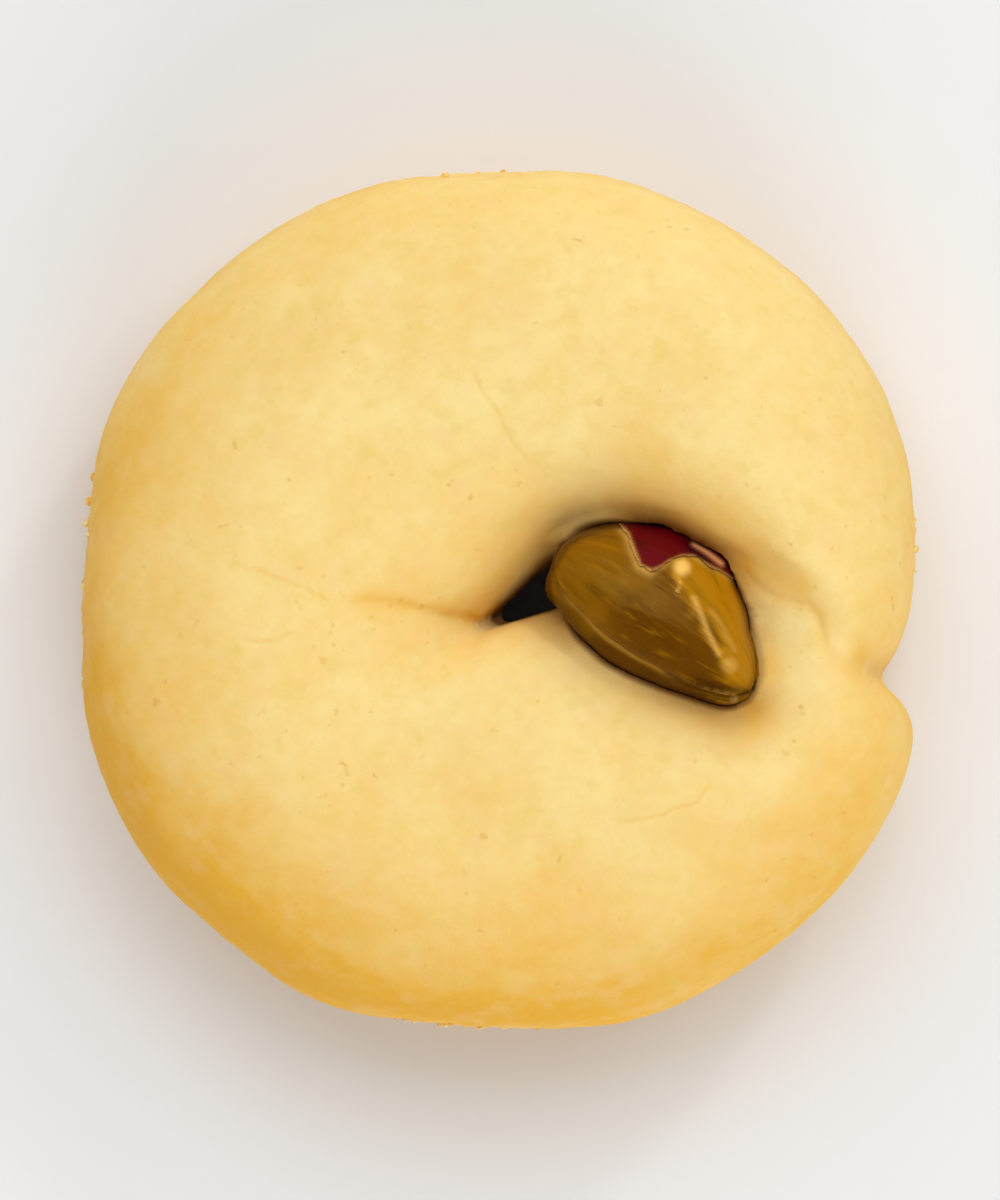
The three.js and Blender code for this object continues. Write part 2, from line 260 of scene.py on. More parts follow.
class GhribaKernelSettings(bpy.types.PropertyGroup):
    """The sizes and colours of the pistachio kernel and its skin."""

    mesh_size: length_property("Mesh size", "Width of a face of the kernel's mesh", 0.17)
    split_depth: length_property("Split depth", "Depth of the split between the halves", 0.12)
    bead_height: length_property("Bead height", "Height of the lower half's edge", 0.1)
    wrinkles: length_property("Wrinkles", "Height of the wrinkles along the kernel", 0.07)
    skin_thickness: length_property("Skin thickness", "Thickness of the skin", 0.12)
    olive: colour_property("Olive", "The blunt end", 134, 88, 2)
    brown: colour_property("Brown", "The roasted middle", 106, 62, 2)
    amber: colour_property("Amber", "The side and the narrow end", 174, 118, 4)
    # also the painted shade on the rim, in the split and by the narrow end
    dark: colour_property("Dark", "The rim and the wrinkles", 58, 28, 2)
    # also the painted highlights on the raised spots and the ridges
    flesh_and_highlight: colour_property("Flesh", "The scraped flesh by the skin", 248, 198, 100)
    # the painted highlight along the lower half's bead
    edge: colour_property("Edge", "The lit edge of the lower half", 226, 166, 60)
    skin: colour_property("Skin", "The red skin", 92, 4, 13)
    # also the painted shade on the skin's edge
    skin_dark: colour_property("Dark skin", "The folds and rim of the skin", 48, 2, 12)
    # the painted highlight on the skin
    skin_highlight_colour: colour_property("Wet skin", "The stretched part of the skin", 244, 170, 108)


class GhribaCrumbSettings(bpy.types.PropertyGroup):
    """The crumbs that stick to the torn sides."""

    count: bpy.props.IntProperty(
        name="Count", description="Number of crumbs", default=50, min=1, max=400
    )
    smallest: length_property("Smallest", "Radius of the smallest crumb", 0.10)
    largest: length_property("Largest", "Radius of the largest crumb", 0.26)
    seed: bpy.props.IntProperty(name="Seed", description="Draws other crumbs", default=7)


class GhribaStageSettings(bpy.types.PropertyGroup):
    """The floor, the lights and the camera."""

    view_width: length_property("View width", "Width that the camera sees", 60)
    camera_height: length_property("Camera height", "Height of the camera", 620)
    key_power: number_property("Key power", "Power of each soft key light", 6.3, "POWER")
    low_power: number_property("Low power", "Power of the low fill light", 8.8, "POWER")
    spark_power: number_property("Spark power", "Power of the small light", 2.2, "POWER")
    horizon: number_property("Horizon", "Brightness of the surroundings low down", 0.59)
    zenith: number_property("Zenith", "Brightness of the surroundings overhead", 0.32)
    floor: colour_property("Floor", "The pale floor", 236, 236, 236)


# ---------------------------------------------------------------- modelling by hand


def only(piece):
    """Selects this piece alone, and makes it the active one."""
    bpy.ops.object.select_all(action="DESELECT")
    piece.select_set(True)
    bpy.context.view_layer.objects.active = piece


def apply_modifier(piece, kind, **settings):
    only(piece)
    bpy.ops.object.modifier_add(type=kind)
    modifier = piece.modifiers[-1]
    for name, value in settings.items():
        setattr(modifier, name, value)
    bpy.ops.object.modifier_apply(modifier=modifier.name)


def edit(piece):
    only(piece)
    bpy.ops.object.mode_set(mode="EDIT")


def leave_edit():
    bpy.ops.object.mode_set(mode="OBJECT")


def select(piece, kind, chosen):
    """Goes into edit mode with the points or faces selected for which chosen is true."""
    edit(piece)
    bpy.ops.mesh.select_mode(type=kind)
    bpy.ops.mesh.select_all(action="DESELECT")
    leave_edit()
    elements = piece.data.polygons if kind == "FACE" else piece.data.vertices
    elements.foreach_set("select", chosen)
    edit(piece)


def split_faces(piece, chosen, cuts=1):
    """Cuts the chosen faces into smaller ones."""
    select(piece, "FACE", chosen)
    bpy.ops.mesh.subdivide(number_cuts=cuts)
    leave_edit()


def new_piece(name, mesh):
    mesh.name = name
    piece = bpy.data.objects.new(name, mesh)
    bpy.context.scene.collection.objects.link(piece)
    return piece


def copy_of_node(node, name):
    """A new piece with the shape of a solid, its loose triangles merged into one surface."""
    piece = new_piece(name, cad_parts[node].data.copy())
    piece.data.materials.clear()
    edit(piece)
    bpy.ops.mesh.select_all(action="SELECT")
    bpy.ops.mesh.remove_doubles(threshold=WELD)
    bpy.ops.mesh.customdata_custom_splitnormals_clear()
    bpy.ops.mesh.tris_convert_to_quads()
    leave_edit()
    return piece


def vectors_of(elements, name):
    """A vector of each point or face, as the rows of an array."""
    values = np.empty(len(elements) * 3)
    elements.foreach_get(name, values)
    return values.reshape(-1, 3)


def point_places(piece):
    return vectors_of(piece.data.vertices, "co")


def point_normals(piece):
    return vectors_of(piece.data.vertices, "normal")


def face_centres(piece):
    return vectors_of(piece.data.polygons, "center")


def moved(places, matrix):
    """The places, moved by a matrix."""
    turn = np.array(matrix)
    return places @ turn[:3, :3].T + turn[:3, 3]


def move_mesh(piece, matrix):
    piece.matrix_world = matrix
    only(piece)
    bpy.ops.object.transform_apply(location=True, rotation=True, scale=True)


def remesh(piece, face_size, smoothings):
    """Gives a piece an even mesh of small faces, with its edges rounded."""
    apply_modifier(piece, "SUBSURF", levels=2, render_levels=2)
    apply_modifier(piece, "REMESH", mode="VOXEL", voxel_size=face_size)
    apply_modifier(piece, "SMOOTH", factor=0.5, iterations=smoothings)


def store(piece, name, values):
    """Keeps one number for each point, for the material to read."""
    attribute = piece.data.attributes.get(name)
    if attribute is None:
        attribute = piece.data.attributes.new(name, "FLOAT", "POINT")
    attribute.data.foreach_set("value", np.asarray(values, np.float32))


def stored(piece, name):
    values = np.empty(len(piece.data.vertices), np.float32)
    piece.data.attributes[name].data.foreach_get("value", values)
    return values


def apply_masked(piece, kind, weights, **settings):
    """Applies a modifier that acts on each point by its weight."""
    mask = piece.vertex_groups.new(name="mask")
    for index in np.flatnonzero(weights > SLIGHT):
        mask.add([int(index)], float(weights[index]), "REPLACE")
    apply_modifier(piece, kind, vertex_group="mask", **settings)
    piece.vertex_groups.clear()


def push(piece, distance, weights, texture=None, middle=0.0, direction="NORMAL"):
    """Moves the surface by a distance, out along its normals or along an axis, by its weights."""
    apply_masked(
        piece,
        "DISPLACE",
        weights,
        texture=texture,
        texture_coords="LOCAL",
        strength=distance,
        mid_level=middle,
        direction=direction,
    )


def clouds(name, size, depth):
    """A texture of soft lumps about so many millimetres across, with ever finer ones on them."""
    texture = bpy.data.textures.new(name, "CLOUDS")
    texture.noise_scale = size * MM
    texture.noise_depth = depth
    return texture


def wander(path, draw, step, stray):
    """A hand-drawn line through the points of a path, which strays a little to both sides."""
    line = []
    for start, end in zip(path, path[1:]):
        count = max(int(math.dist(start, end) / step), 1)
        for i in range(count):
            place = np.array(start) + (np.array(end) - np.array(start)) * i / count
            line.append(place + [draw.uniform(-stray, stray), draw.uniform(-stray, stray)])
    line.append(np.array(path[-1]))
    return np.array(line) * MM


def distance_to_line(places, line):
    """How far each place is from a line, seen from above, and the share of the line passed."""
    nearest = np.full(len(places), np.inf)
    passed = np.zeros(len(places))
    count = len(line) - 1
    for i in range(count):
        run = line[i + 1] - line[i]
        offset = places[:, :2] - line[i]
        along = np.clip(offset @ run / (run @ run), 0, 1)
        distance = np.linalg.norm(offset - along[:, None] * run, axis=1)
        closer = distance < nearest
        nearest[closer] = distance[closer]
        passed[closer] = (i + along[closer]) / count
    return nearest, passed


def nearness(places, line, width):
    """1 on a line given in millimetres, seen from above, and fading to 0 beside it."""
    distance, _ = distance_to_line(places, np.array(line) * MM)
    return bell(distance, width * MM)


def dress(piece, material):
    """Shades a piece smoothly, and gives it its material."""
    only(piece)
    bpy.ops.object.shade_smooth()
    piece.data.materials.append(material)


# ---------------------------------------------------------------- materials


def set_inputs(tree, node, inputs):
    """Sets a node's inputs. A value is a number, a colour, or another node's output."""
    for socket, value in inputs.items():
        if isinstance(value, bpy.types.NodeSocket):
            tree.links.new(value, node.inputs[socket])
        else:
            node.inputs[socket].default_value = value


def add_node(tree, kind, inputs=None, **settings):
    node = tree.nodes.new(kind)
    for name, value in settings.items():
        setattr(node, name, value)
    set_inputs(tree, node, inputs or {})
    return node


def mix(tree, factor, first, second):
    """The output of a colour mix."""
    inputs = {0: factor, 6: first, 7: second}
    return add_node(tree, "ShaderNodeMix", inputs, data_type="RGBA").outputs[2]


def remap(tree, value, low, high, new_low=0.0, new_high=1.0):
    """The output of a smooth clamped change of range."""
    inputs = {"Value": value, 1: low, 2: high, 3: new_low, 4: new_high}
    node = add_node(tree, "ShaderNodeMapRange", inputs, interpolation_type="SMOOTHSTEP")
    return node.outputs["Result"]


def noise(tree, place, size, detail, roughness=0.5):
    """A noise whose features are about so many millimetres across."""
    scale = 1 / (size * MM)
    inputs = {"Vector": place, "Scale": scale, "Detail": detail, "Roughness": roughness}
    return add_node(tree, "ShaderNodeTexNoise", inputs).outputs["Fac"]


def attribute(tree, name):
    return add_node(tree, "ShaderNodeAttribute", attribute_name=name).outputs["Fac"]


def math_node(tree, operation, first, second):
    node = add_node(tree, "ShaderNodeMath", {0: first, 1: second}, operation=operation)
    return node.outputs[0]


def bump(tree, height, distance, strength):
    inputs = {"Height": height, "Distance": distance, "Strength": strength}
    return add_node(tree, "ShaderNodeBump", inputs).outputs["Normal"]


def lay_over(tree, colour, layers):
    """Mixes colours over another, each by an attribute of the mesh."""
    for name, over in layers.items():
        colour = mix(tree, attribute(tree, name), colour, over)
    return colour


def new_material(name):
    material = bpy.data.materials.new(name)
    material.use_nodes = True
    tree = material.node_tree
    return material, tree, tree.nodes["Principled BSDF"]


def object_place(tree):
    return add_node(tree, "ShaderNodeTexCoord").outputs["Object"]


def dough_material(settings):
    material, tree, shader = new_material("baked_dough")
    place = object_place(tree)
    golden = attribute(tree, "golden")
    for size, strength in ((11, 0.1), (4, 0.08), (1.1, 0.06)):
        patches = remap(tree, noise(tree, place, size, 3, 0.55), 0.3, 0.7, -strength, strength)
        golden = math_node(tree, "ADD", golden, patches)
    # the golden attribute carries the baked colour and painted shade
    colour = mix(tree, golden, settings.pale, settings.golden)
    buttery = remap(tree, noise(tree, place, 1.7, 3, 0.6), 0.5, 0.72, 0.0, 0.3)
    colour = mix(tree, buttery, colour, settings.buttery)
    blush = remap(tree, noise(tree, place, 2.6, 3, 0.6), 0.5, 0.7, 0.0, 0.3)
    colour = mix(tree, blush, colour, settings.blush)
    few = remap(tree, noise(tree, place, 5, 1), 0.42, 0.62)
    freckles = remap(tree, noise(tree, place, 0.8, 2), 0.66, 0.76, 0.0, 0.35)
    freckles = math_node(tree, "MULTIPLY", freckles, few)
    # the baked attribute adds painted shade on the shaded side and round the kernel
    freckles = math_node(tree, "MAXIMUM", freckles, attribute(tree, "baked_and_shaded"))
    colour = mix(tree, freckles, colour, settings.baked_and_shaded)
    # painted shade in the pocket and the hole, with the oil stain
    colour = lay_over(tree, colour, {"stain_and_shade": settings.stained_and_shaded})
    finish = {
        "Base Color": colour,
        "Normal": bump(tree, noise(tree, place, 0.3, 4, 0.6), 0.08 * MM, 0.5),
        "Roughness": remap(tree, noise(tree, place, 1.5, 2), 0.3, 0.7, 0.62, 0.75),
        "Specular IOR Level": 0.1,
        "Subsurface Weight": 0.3,
        "Subsurface Radius": (1.0, 0.5, 0.15),
        "Subsurface Scale": 1.0 * MM,
    }
    set_inputs(tree, shader, finish)
    return material


def kernel_place(tree):
    """Object coordinates turned so that X runs along the kernel, and Z stays up."""
    inputs = {
        "Vector": object_place(tree),
        "Location": KERNEL_CENTRE,
        "Rotation": (0, 0, KERNEL_TURN.z),
    }
    return add_node(tree, "ShaderNodeMapping", inputs, vector_type="TEXTURE").outputs[0]


def kernel_material(settings):
    material, tree, shader = new_material("roasted_kernel")
    place = kernel_place(tree)
    grain = add_node(tree, "ShaderNodeAttribute", attribute_name="grain").outputs["Vector"]
    axes = add_node(tree, "ShaderNodeSeparateXYZ", {0: place})
    drift = remap(tree, noise(tree, place, 2.6, 2), 0.25, 0.75, -0.9 * MM, 0.9 * MM)
    fibres = remap(tree, noise(tree, grain, 0.9, 3), 0.3, 0.7, -0.7 * MM, 0.7 * MM)
    drift = math_node(tree, "ADD", drift, fibres)
    along = math_node(tree, "ADD", axes.outputs["X"], drift)
    olive = remap(tree, along, -4.2 * MM, -1.4 * MM)
    colour = mix(tree, olive, settings.olive, settings.brown)
    towards_side = math_node(tree, "MULTIPLY", axes.outputs["X"], 0.6)
    towards_side = math_node(tree, "ADD", axes.outputs["Y"], towards_side)
    towards_side = math_node(tree, "ADD", towards_side, drift)
    amber = remap(tree, towards_side, 1.5 * MM, 3.0 * MM)
    colour = mix(tree, amber, colour, settings.amber)
    streaks = remap(tree, noise(tree, grain, 0.7, 3, 0.6), 0.48, 0.75, 0.0, 0.4)
    streaks = math_node(tree, "ADD", streaks, attribute(tree, "shade"))
    colour = mix(tree, streaks, colour, settings.dark)
    light = remap(tree, noise(tree, grain, 0.42, 2), 0.55, 0.75, 0.0, 0.36)
    colour = mix(tree, light, colour, settings.amber)
    # painted highlights on the raised spots, ridges and bead, and painted shade on the rim
    layers = {"bare_and_highlight": settings.flesh_and_highlight, "bead": settings.edge, "rim": settings.dark}
    colour = lay_over(tree, colour, layers)
    finish = {
        "Base Color": colour,
        "Normal": bump(tree, noise(tree, grain, 0.3, 3, 0.6), 0.05 * MM, 0.4),
        "Roughness": remap(tree, noise(tree, place, 0.8, 2), 0.3, 0.7, 0.14, 0.24),
        "Specular IOR Level": 0.35,
        "Specular Tint": (1.0, 0.6, 0.12, 1.0),
        "Subsurface Weight": 0.1,
        "Subsurface Radius": (1.0, 0.5, 0.1),
        "Subsurface Scale": 0.5 * MM,
    }
    set_inputs(tree, shader, finish)
    return material


def skin_material(settings):
    material, tree, shader = new_material("kernel_skin")
    stretched = {"Vector": kernel_place(tree), "Scale": (0.5, 1.0, 1.0)}  # along the kernel
    place = add_node(tree, "ShaderNodeMapping", stretched).outputs[0]
    folds = remap(tree, noise(tree, place, 1.8, 2, 0.5), 0.3, 0.55)
    colour = mix(tree, folds, settings.skin_dark, settings.skin)
    # painted highlight along the streak, painted shade on the edge, and the bare torn edge
    layers = {"skin_highlight": settings.skin_highlight_colour, "bare_and_highlight": settings.flesh_and_highlight, "rim": settings.skin_dark}
    colour = lay_over(tree, colour, layers)
    finish = {
        "Base Color": colour,
        "Normal": bump(tree, noise(tree, place, 0.4, 3, 0.6), 0.05 * MM, 0.5),
        "Roughness": 0.24,
        "Specular IOR Level": 0.5,
        "Specular Tint": (1.0, 0.12, 0.14, 1.0),
    }
    set_inputs(tree, shader, finish)
    return material


def crumb_material(settings):
    material, tree, shader = new_material("dough_crumbs")
    place = object_place(tree)
    shade = remap(tree, noise(tree, place, 0.6, 2), 0.35, 0.65)
    colour = mix(tree, shade, settings.golden, settings.pale)
    finish = {
        "Base Color": colour,
        "Normal": bump(tree, noise(tree, place, 0.15, 3), 0.04 * MM, 0.6),
        "Roughness": 0.8,
        "Specular IOR Level": 0.3,
    }
    set_inputs(tree, shader, finish)
    return material


def floor_material(settings):
    material, tree, shader = new_material("pale_floor")
    shade = remap(tree, noise(tree, object_place(tree), 40, 2), 0.2, 0.8, 0.0, 0.04)
    colour = mix(tree, shade, settings.floor, (0.5, 0.5, 0.5, 1.0))
    finish = {"Base Color": colour, "Roughness": 0.7, "Specular IOR Level": 0.2}
    set_inputs(tree, shader, finish)
    return material


# ---------------------------------------------------------------- the dough


def baked_surface(places):
    """1 where the dough swelled in the oven, and 0 on the underside, which stays flat."""
    return height_step(places, 0.4, 2.4)


def line_weights(piece, lines, width):
    """How much each point belongs to one of the lines on the top, from 0 to 1."""
    places = point_places(piece)
    weights = np.zeros(len(places))
    for line in lines:
        distance, passed = distance_to_line(places, line)
        ends = smoothstep(0, 0.12, passed) * smoothstep(1, 0.75, passed)
        weights = np.maximum(weights, ends * bell(distance, width))
    return weights * smoothstep(0.1, 0.4, point_normals(piece)[:, 2])


def refine_near(piece, lines, reach, cuts):
    """Splits the faces of the top that are close to the lines."""
    centres = face_centres(piece)
    close = np.zeros(len(centres), bool)
    for line in lines:
        distance, _ = distance_to_line(centres, line)
        close |= distance < reach
    close &= centres[:, 2] > 8 * MM
    split_faces(piece, close, cuts)


def contact_weights(places):
    """1 in the middle of each torn place on the side, and 0 away from it."""
    x, y, z = (places / MM).T
    angle = np.degrees(np.arctan2(y, x))
    ragged = 0.14 * np.sin(1.9 * z + 0.7 * x - 0.9 * y) + 0.1 * np.sin(3.1 * (x + y) - 2.3 * z)
    weights = np.zeros(len(places))
    for facing, half_span in CONTACTS:
        turn = (angle - facing + 180) % 360 - 180
        from_middle = np.hypot(turn / half_span, (z - CONTACT_HEIGHT) / CONTACT_HALF_HEIGHT)
        weights = np.maximum(weights, smoothstep(1.0, 0.6, from_middle + ragged))
    return weights * smoothstep(20, 22, np.hypot(x, y))


def make_uneven(dough, settings):
    """Gives the smooth ring the swell, lumps and grain of a hand-shaped, baked dough."""
    everywhere = baked_surface(point_places(dough))
    push(dough, settings.swell, everywhere, clouds("swell", 9, 1), 0.5)
    push(dough, settings.lumps, everywhere, clouds("lumps", 2.6, 2), 0.5)
    push(dough, settings.grain, everywhere, clouds("grain", 0.8, 2), 0.5)


def cut_lines(dough, settings):
    """Presses the seam, the crease and the hairline cracks into the top."""
    draw = random.Random(3)
    creases = [wander(path, draw, 0.6, 0.08) for path in (SEAM, CREASE)]
    hairlines = [wander(path, draw, 0.4, 0.08) for path in HAIRLINES]
    refine_near(dough, creases + [np.array(SLIT_TIP) * MM], 1.0 * MM, 1)
    refine_near(dough, hairlines, 0.4 * MM, 2)
    push(dough, -settings.crease_depth, line_weights(dough, creases, 0.3 * MM))
    cracks = line_weights(dough, hairlines, 0.11 * MM)
    push(dough, -settings.crack_depth, cracks)
    # the seam, the crease and the cracks are painted golden: painted shade in them
    lines = line_weights(dough, creases, 0.55 * MM)
    store(dough, "lines", np.clip(0.3 * lines + 0.25 * cracks, 0, 1))


def tear_sides(dough, settings):
    """Roughens the side where it came away from the neighbouring cookies."""
    split_faces(dough, contact_weights(face_centres(dough)) > 0.05)
    weights = contact_weights(point_places(dough))
    push(dough, settings.tear_depth, weights, clouds("torn", 0.9, 3), 0.6)
    push(dough, 0.6 * settings.tear_depth, weights, clouds("torn_fine", 0.4, 3), 0.5)


def press_seam(dough):
    """Presses the joint of the two ends nearly shut, so that only a fine seam is left of it."""
    places = point_places(dough)
    distance, _ = distance_to_line(places, np.array(SEAM[1:]) * MM)
    pressed = smoothstep(2.4 * MM, 1.2 * MM, distance)
    pressed *= smoothstep(15 * MM, 17 * MM, places[:, 0])
    pressed *= height_step(places, 12, 14)
    pressed *= smoothstep(23.2 * MM, 21.6 * MM, np.hypot(places[:, 0], places[:, 1]))
    apply_masked(dough, "SMOOTH", pressed, factor=0.6, iterations=60)


def close_pocket(dough):
    """Draws the dough of the pocket up to the kernel, as it baked against it."""
    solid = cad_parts["pistachio_kernel"]
    split_faces(dough, distance_to(solid, face_centres(dough)) < 1.1 * MM)
    distance = distance_to(solid, point_places(dough))
    apply_masked(
        dough,
        "SHRINKWRAP",
        smoothstep(1.0 * MM, 0.35 * MM, distance),
        target=bpy.data.objects["kernel"],
        wrap_method="NEAREST_SURFACEPOINT",
        wrap_mode="OUTSIDE_SURFACE",
        offset=POCKET_GAP,
    )
    rounded = smoothstep(1.4 * MM, 0.7 * MM, distance_to(solid, point_places(dough)))
    apply_masked(dough, "SMOOTH", rounded, factor=0.5, iterations=5)


def open_lip(dough):
    """Draws the dough back on the far side of the kernel, so that the kernel's edge shows."""
    centres = face_centres(dough)
    close = distance_to_kernel(centres) < 0.8 * MM
    split_faces(dough, close & (centres[:, 2] > 12.5 * MM))
    places = point_places(dough)
    lip = smoothstep(LIP_SPAN, LIP_FULL_SPAN, np.abs(heading_from_kernel(places) - LIP_HEADING))
    lip *= smoothstep(2.2 * MM, 0.7 * MM, distance_to_kernel(places))
    lip *= height_step(places, 12.5, 14)
    for axis, shift in LIP_SHIFT.items():
        push(dough, shift * MM, lip, direction=axis)
    rounded = smoothstep(1.0 * MM, 0.6 * MM, distance_to_kernel(point_places(dough)))
    apply_masked(dough, "SMOOTH", rounded, factor=0.5, iterations=4)


def raise_shelf(dough):
    """Raises the end of the rope that lies under the kernel's narrow end."""
    places = point_places(dough)
    distance = distance_to(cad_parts["pistachio_kernel"], places)
    shelf = nearness(places, SHELF, SHELF_WIDTH) * smoothstep(0.1 * MM, 0.9 * MM, distance)
    shelf *= height_step(places, 12, 14)
    push(dough, SHELF_RISE * MM, shelf, direction="Z")


def flatten_underside(dough):
    places = point_places(dough)
    select(dough, "VERT", places[:, 2] < UNDERSIDE)
    bpy.ops.transform.resize(value=(1, 1, 0), center_override=(0, 0, 0))
    leave_edit()


def distance_to(target, places):
    """How far each place is from the surface of another piece or solid."""
    corners = [point.co for point in target.data.vertices]
    tree = BVHTree.FromPolygons(corners, [face.vertices for face in target.data.polygons])
    return np.array([tree.find_nearest(Vector(place))[3] for place in places])


def distance_to_kernel(places):
    return distance_to(bpy.data.objects["kernel"], places)


def heading_from_kernel(places):
    """The way from the kernel's centre to each place, seen from above, in degrees."""
    x, y = (places[:, :2] - np.array(KERNEL_CENTRE)[:2]).T
    return np.degrees(np.arctan2(y, x))


def from_centre(places, centre):
    """How far each place is from the centre of a round spot, seen from above, in millimetres."""
    return np.linalg.norm(places[:, :2] / MM - centre, axis=1)


def note_browning(dough):
    """Notes how golden each point of the dough is painted, for its material: its baked colour, with
    painted shade on the side away from the light, along the seam and creases and round the kernel,
    and painted light on the shaded slope beside the kernel.
    """
    places = point_places(dough)
    normals = point_normals(dough)
    heading = np.arctan2(places[:, 1], places[:, 0])
    outward = normals[:, 0] * np.cos(heading) + normals[:, 1] * np.sin(heading)
    share = OUTSIDE_GOLD + OUTSIDE_SHADE_SWING * np.cos(heading - GOLDEN_SHADE_SIDE)
    # the inner slopes that face away from the light are painted more golden: painted shade
    inside = INSIDE_GOLD + INSIDE_SHADE_SWING * smoothstep(0.2, -0.3, normals[:, 1])
    inside -= 0.3 * bell(places[:, 0] / MM - 4.5, 2.2)  # painted light: paler on the shaded slope beside the kernel
    share += (inside - share) * smoothstep(0.1, -0.3, outward)
    golden = share * np.interp(normals[:, 2], SLOPES, SLOPE_BROWNING_AND_SHADE)
    # a little more golden towards the bottom edge
    golden += 0.06 * smoothstep(14 * MM, 18 * MM, -places[:, 1] + 0.3 * np.abs(places[:, 0]))
    golden += (1 - golden) * smoothstep(0.45, -0.3, normals[:, 2])
    upper = height_step(places, 8, 12)
    for centre, radius, strength in GOLDEN_SPOTS:
        golden += (1 - golden) * strength * upper * bell(from_centre(places, centre), radius)
    # painted shade on the side that slopes down to the seam
    golden += (1 - golden) * 0.92 * upper * nearness(places, SEAM_SHADE_BAND, 0.75)
    golden *= 1 - 0.85 * upper * nearness(places, CREAM_BAND, 1.5)
    # painted shade along the seam, the crease and the cracks
    golden += (1 - golden) * stored(dough, "lines")
    golden *= 1 - 0.22 * contact_weights(places)
    store(dough, "golden", golden)
    # painted shade low on the side away from the light; the underside's browning is its own colour
    browned_and_shaded = 0.4 * np.clip(np.cos(heading - BROWNED_SHADE_SIDE), 0, 1) ** 2
    browned_and_shaded *= smoothstep(0.8, 0.5, normals[:, 2]) * smoothstep(-0.1, 0.2, outward)
    browned_and_shaded = np.maximum(browned_and_shaded, 0.5 * height_step(places, 1.6, 0.1))
    # the oil stain round the kernel, partly painted shade, in golden brown
    distance, oil_and_shade = oil_and_shade_around(places)
    soaked_and_shaded = np.sqrt(oil_and_shade) * np.interp(distance, OIL_SHADE_REACH, OIL_SHADE_GOLD)
    store(dough, "baked_and_shaded", np.clip(np.maximum(browned_and_shaded, soaked_and_shaded), 0, 1))


def oil_and_shade_around(places):
    """How far each place is from the kernel, in millimetres, and how strong the oil stain and
    painted shade are there.
    """
    distance = distance_to_kernel(places) / MM
    return distance, np.interp(heading_from_kernel(places), OIL_SHADE_HEADINGS, OIL_SHADE_STRENGTHS)


def note_stain_and_shade(dough):
    """Notes where the dough is painted dark: painted shade round the kernel's pocket, at the slit's
    tip and down in the hole, and the oil stain, partly painted shade.
    """
    places = point_places(dough)
    distance, oil_and_shade = oil_and_shade_around(places)
    # a ring of painted shade round the kernel's pocket
    rim = np.interp(heading_from_kernel(places), RIM_HEADINGS, RIM_STRENGTHS)
    stain_and_shade = 0.85 * rim * smoothstep(0.65, 0.15, distance)
    stain_and_shade = np.maximum(stain_and_shade, oil_and_shade * np.interp(distance, OIL_SHADE_REACH, OIL_SHADE_DARKNESS))
    from_hole, _ = distance_to_line(places, np.array(HOLE_LINE) * MM)
    # painted shade down in the hole's throat
    throat_shade = smoothstep(2.6 * MM, 2.0 * MM, from_hole)
    throat_shade *= height_step(places, 13, 11) * height_step(places, 1, 4)
    # painted shade at the slit's closed tip
    from_tip, passed = distance_to_line(places, np.array(SLIT_TIP) * MM)
    tip = 0.85 * (1 - passed) * bell(from_tip, 0.25 * MM)
    tip *= height_step(places, 8, 10)
    store(dough, "stain_and_shade", np.clip(np.maximum(np.maximum(stain_and_shade, tip), 0.9 * throat_shade), 0, 1))


class GHRIBA_OT_dough(bpy.types.Operator):
    """Model the ring of baked dough."""

    bl_idname = "ghriba.dough"
    bl_label = "Dough"

    def execute(self, context):
        settings = context.scene.ghriba_dough
        dough = copy_of_node("dough_ring", "dough")
        remesh(dough, settings.mesh_size, 4)
        make_uneven(dough, settings)
        press_seam(dough)
        raise_shelf(dough)
        cut_lines(dough, settings)
        close_pocket(dough)
        open_lip(dough)
        tear_sides(dough, settings)
        flatten_underside(dough)
        note_browning(dough)
        note_stain_and_shade(dough)
        dress(dough, dough_material(settings))
        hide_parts("dough_ring")
        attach(dough, "root")
        return {"FINISHED"}


# ---------------------------------------------------------------- the kernel


def fill_groove(kernel):
    """Takes the two straight grooves of the solid away, before the split is modelled."""
    places = point_places(kernel)
    in_groove = np.abs(places[:, 2]) < GROOVE_HALF_WIDTH
    in_groove &= np.abs(places[:, 0]) < 0.498 * KERNEL_LENGTH
    select(kernel, "VERT", in_groove)
    bpy.ops.mesh.dissolve_verts()
    leave_edit()


def wrinkle_weights(places):
    """Soft ridges that run along the kernel and fade in and out."""
    x, y, z = (places / MM).T
    turn = np.arctan2(z, y)
    ridges = np.sin(13 * turn + 0.8 * np.sin(0.5 * x) + 1.1 * np.sin(0.9 * x + 2 * turn))
    ridges += 0.6 * np.sin(23 * turn + 1.3 * np.sin(0.7 * x + 1.0))
    fade = 0.5 + 0.5 * np.sin(0.8 * x + 3 * turn)
    return np.clip(0.5 + 0.3 * ridges * fade, 0, 1)


def heel_weights(places):
    """1 on the lower half's blunt end, which reaches out from under the upper half."""
    x, _, z = (places / MM).T
    return smoothstep(-4.8, -6.6, x) * smoothstep(-0.6, -1.7, z)


def blunt_weights(places):
    """1 round the blunt end, where the halves hold together with no split between them."""
    x, _, z = (places / MM).T
    return smoothstep(-4.4, -5.8, x) * bell(z, 1.2)


def top_weights(places):
    """1 on the kernel's upper side, in its place in the cookie."""
    return smoothstep(-1.0 * MM, 0.5 * MM, places[:, 2] - KERNEL_CENTRE.z)


